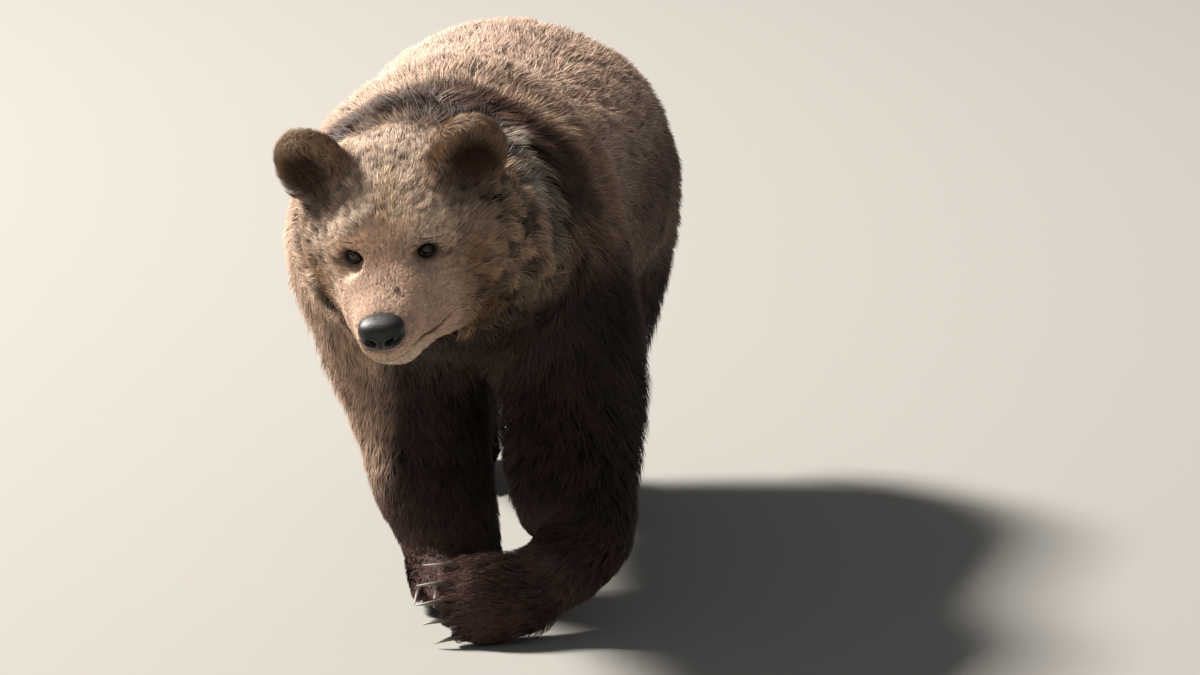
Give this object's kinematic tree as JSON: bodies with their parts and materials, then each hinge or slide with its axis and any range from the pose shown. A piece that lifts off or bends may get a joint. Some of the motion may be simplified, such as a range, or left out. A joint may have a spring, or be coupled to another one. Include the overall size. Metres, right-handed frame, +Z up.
{
  "type": "brown bear model",
  "caption": "Life-size still model of a brown bear walking, head lowered, one forepaw turned inward, shaggy brown coat, standing on the soles of its feet.",
  "frame": {"origin": "on the floor under the middle of the bounding box", "axes": "+Z up, -Y the way the bear faces and walks, +X the bear's left"},
  "size_m": [0.6312, 1.78, 0.9022],
  "materials": {
    "coat_fawn": "matte fur, fawn to pale brown",
    "coat_brown": "matte fur, brown",
    "coat_dark": "matte short fur, dark brown",
    "claw": "horn, satin",
    "nose": "moist leathery skin, satin",
    "eye": "wet, glossy"
  },
  "bodies": {
    "root": {"trunk": "coat_fawn", "neck": "coat_fawn", "head": "coat_fawn", "tail": "coat_fawn", "thigh_left": "coat_fawn", "thigh_right": "coat_fawn", "ear_left": "coat_brown", "ear_right": "coat_brown", "upper_arm_left": "coat_brown", "upper_arm_right": "coat_brown", "forearm_left": "coat_brown", "forearm_right": "coat_brown", "shank_left": "coat_brown", "shank_right": "coat_brown", "forepaw_left": "coat_dark", "forepaw_right": "coat_dark", "hindpaw_left": "coat_dark", "hindpaw_right": "coat_dark", "eye_left": "eye", "eye_right": "eye", "nose": "nose", "claw_forepaw_left_1": "claw", "claw_forepaw_left_2": "claw", "claw_forepaw_left_3": "claw", "claw_forepaw_left_4": "claw", "claw_forepaw_left_5": "claw", "claw_forepaw_right_1": "claw", "claw_forepaw_right_2": "claw", "claw_forepaw_right_3": "claw", "claw_forepaw_right_4": "claw", "claw_forepaw_right_5": "claw", "claw_hindpaw_left_1": "claw", "claw_hindpaw_left_2": "claw", "claw_hindpaw_left_3": "claw", "claw_hindpaw_left_4": "claw", "claw_hindpaw_left_5": "claw", "claw_hindpaw_right_1": "claw", "claw_hindpaw_right_2": "claw", "claw_hindpaw_right_3": "claw", "claw_hindpaw_right_4": "claw", "claw_hindpaw_right_5": "claw"}
  },
  "joints": []
}
